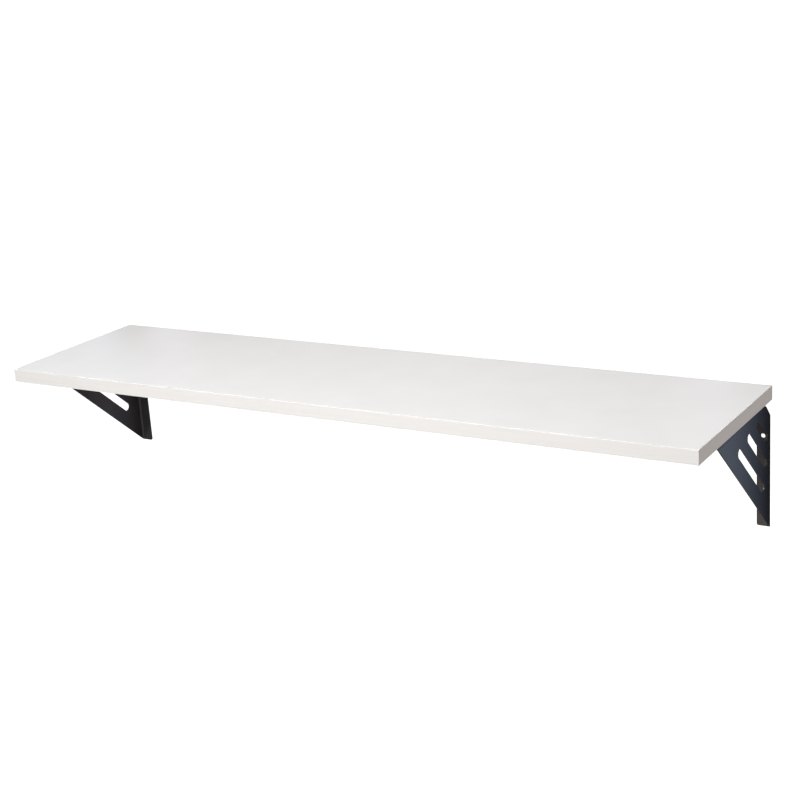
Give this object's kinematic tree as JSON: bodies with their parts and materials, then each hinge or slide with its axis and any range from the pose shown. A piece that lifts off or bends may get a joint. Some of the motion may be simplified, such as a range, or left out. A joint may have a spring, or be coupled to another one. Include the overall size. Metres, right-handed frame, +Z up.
{
  "type": "wall shelf with brackets",
  "caption": "Straight white laminated wall shelf board carried at its ends by folded black sheet steel brackets with slanted slots in their webs.",
  "frame": {"origin": "middle of the rear edge of the board, on the wall plane, half way through the board's thickness", "axes": "+X along the board to the right as seen from the room, +Y into the wall, +Z up"},
  "size_m": [1, 0.25, 0.183],
  "materials": {
    "chipboard": "raw pressed wood chips",
    "white_laminate": "white melamine decor sheet, satin, fine pearl texture",
    "white_edge_band": "white moulded edge band, satin",
    "black_powder_coat": "satin black powder coat on sheet steel",
    "zinc_steel": "bright zinc plated steel"
  },
  "bodies": {
    "root": {"board_core": "chipboard", "top_laminate": "white_laminate", "bottom_laminate": "white_laminate", "front_edge_band": "white_edge_band", "rear_edge_band": "white_edge_band", "left_edge_band": "white_edge_band", "right_edge_band": "white_edge_band", "left_bracket": "black_powder_coat", "right_bracket": "black_powder_coat", "board_screw_left_front": "zinc_steel", "board_screw_left_middle": "zinc_steel", "board_screw_left_rear": "zinc_steel", "board_screw_right_front": "zinc_steel", "board_screw_right_middle": "zinc_steel", "board_screw_right_rear": "zinc_steel"}
  },
  "joints": []
}
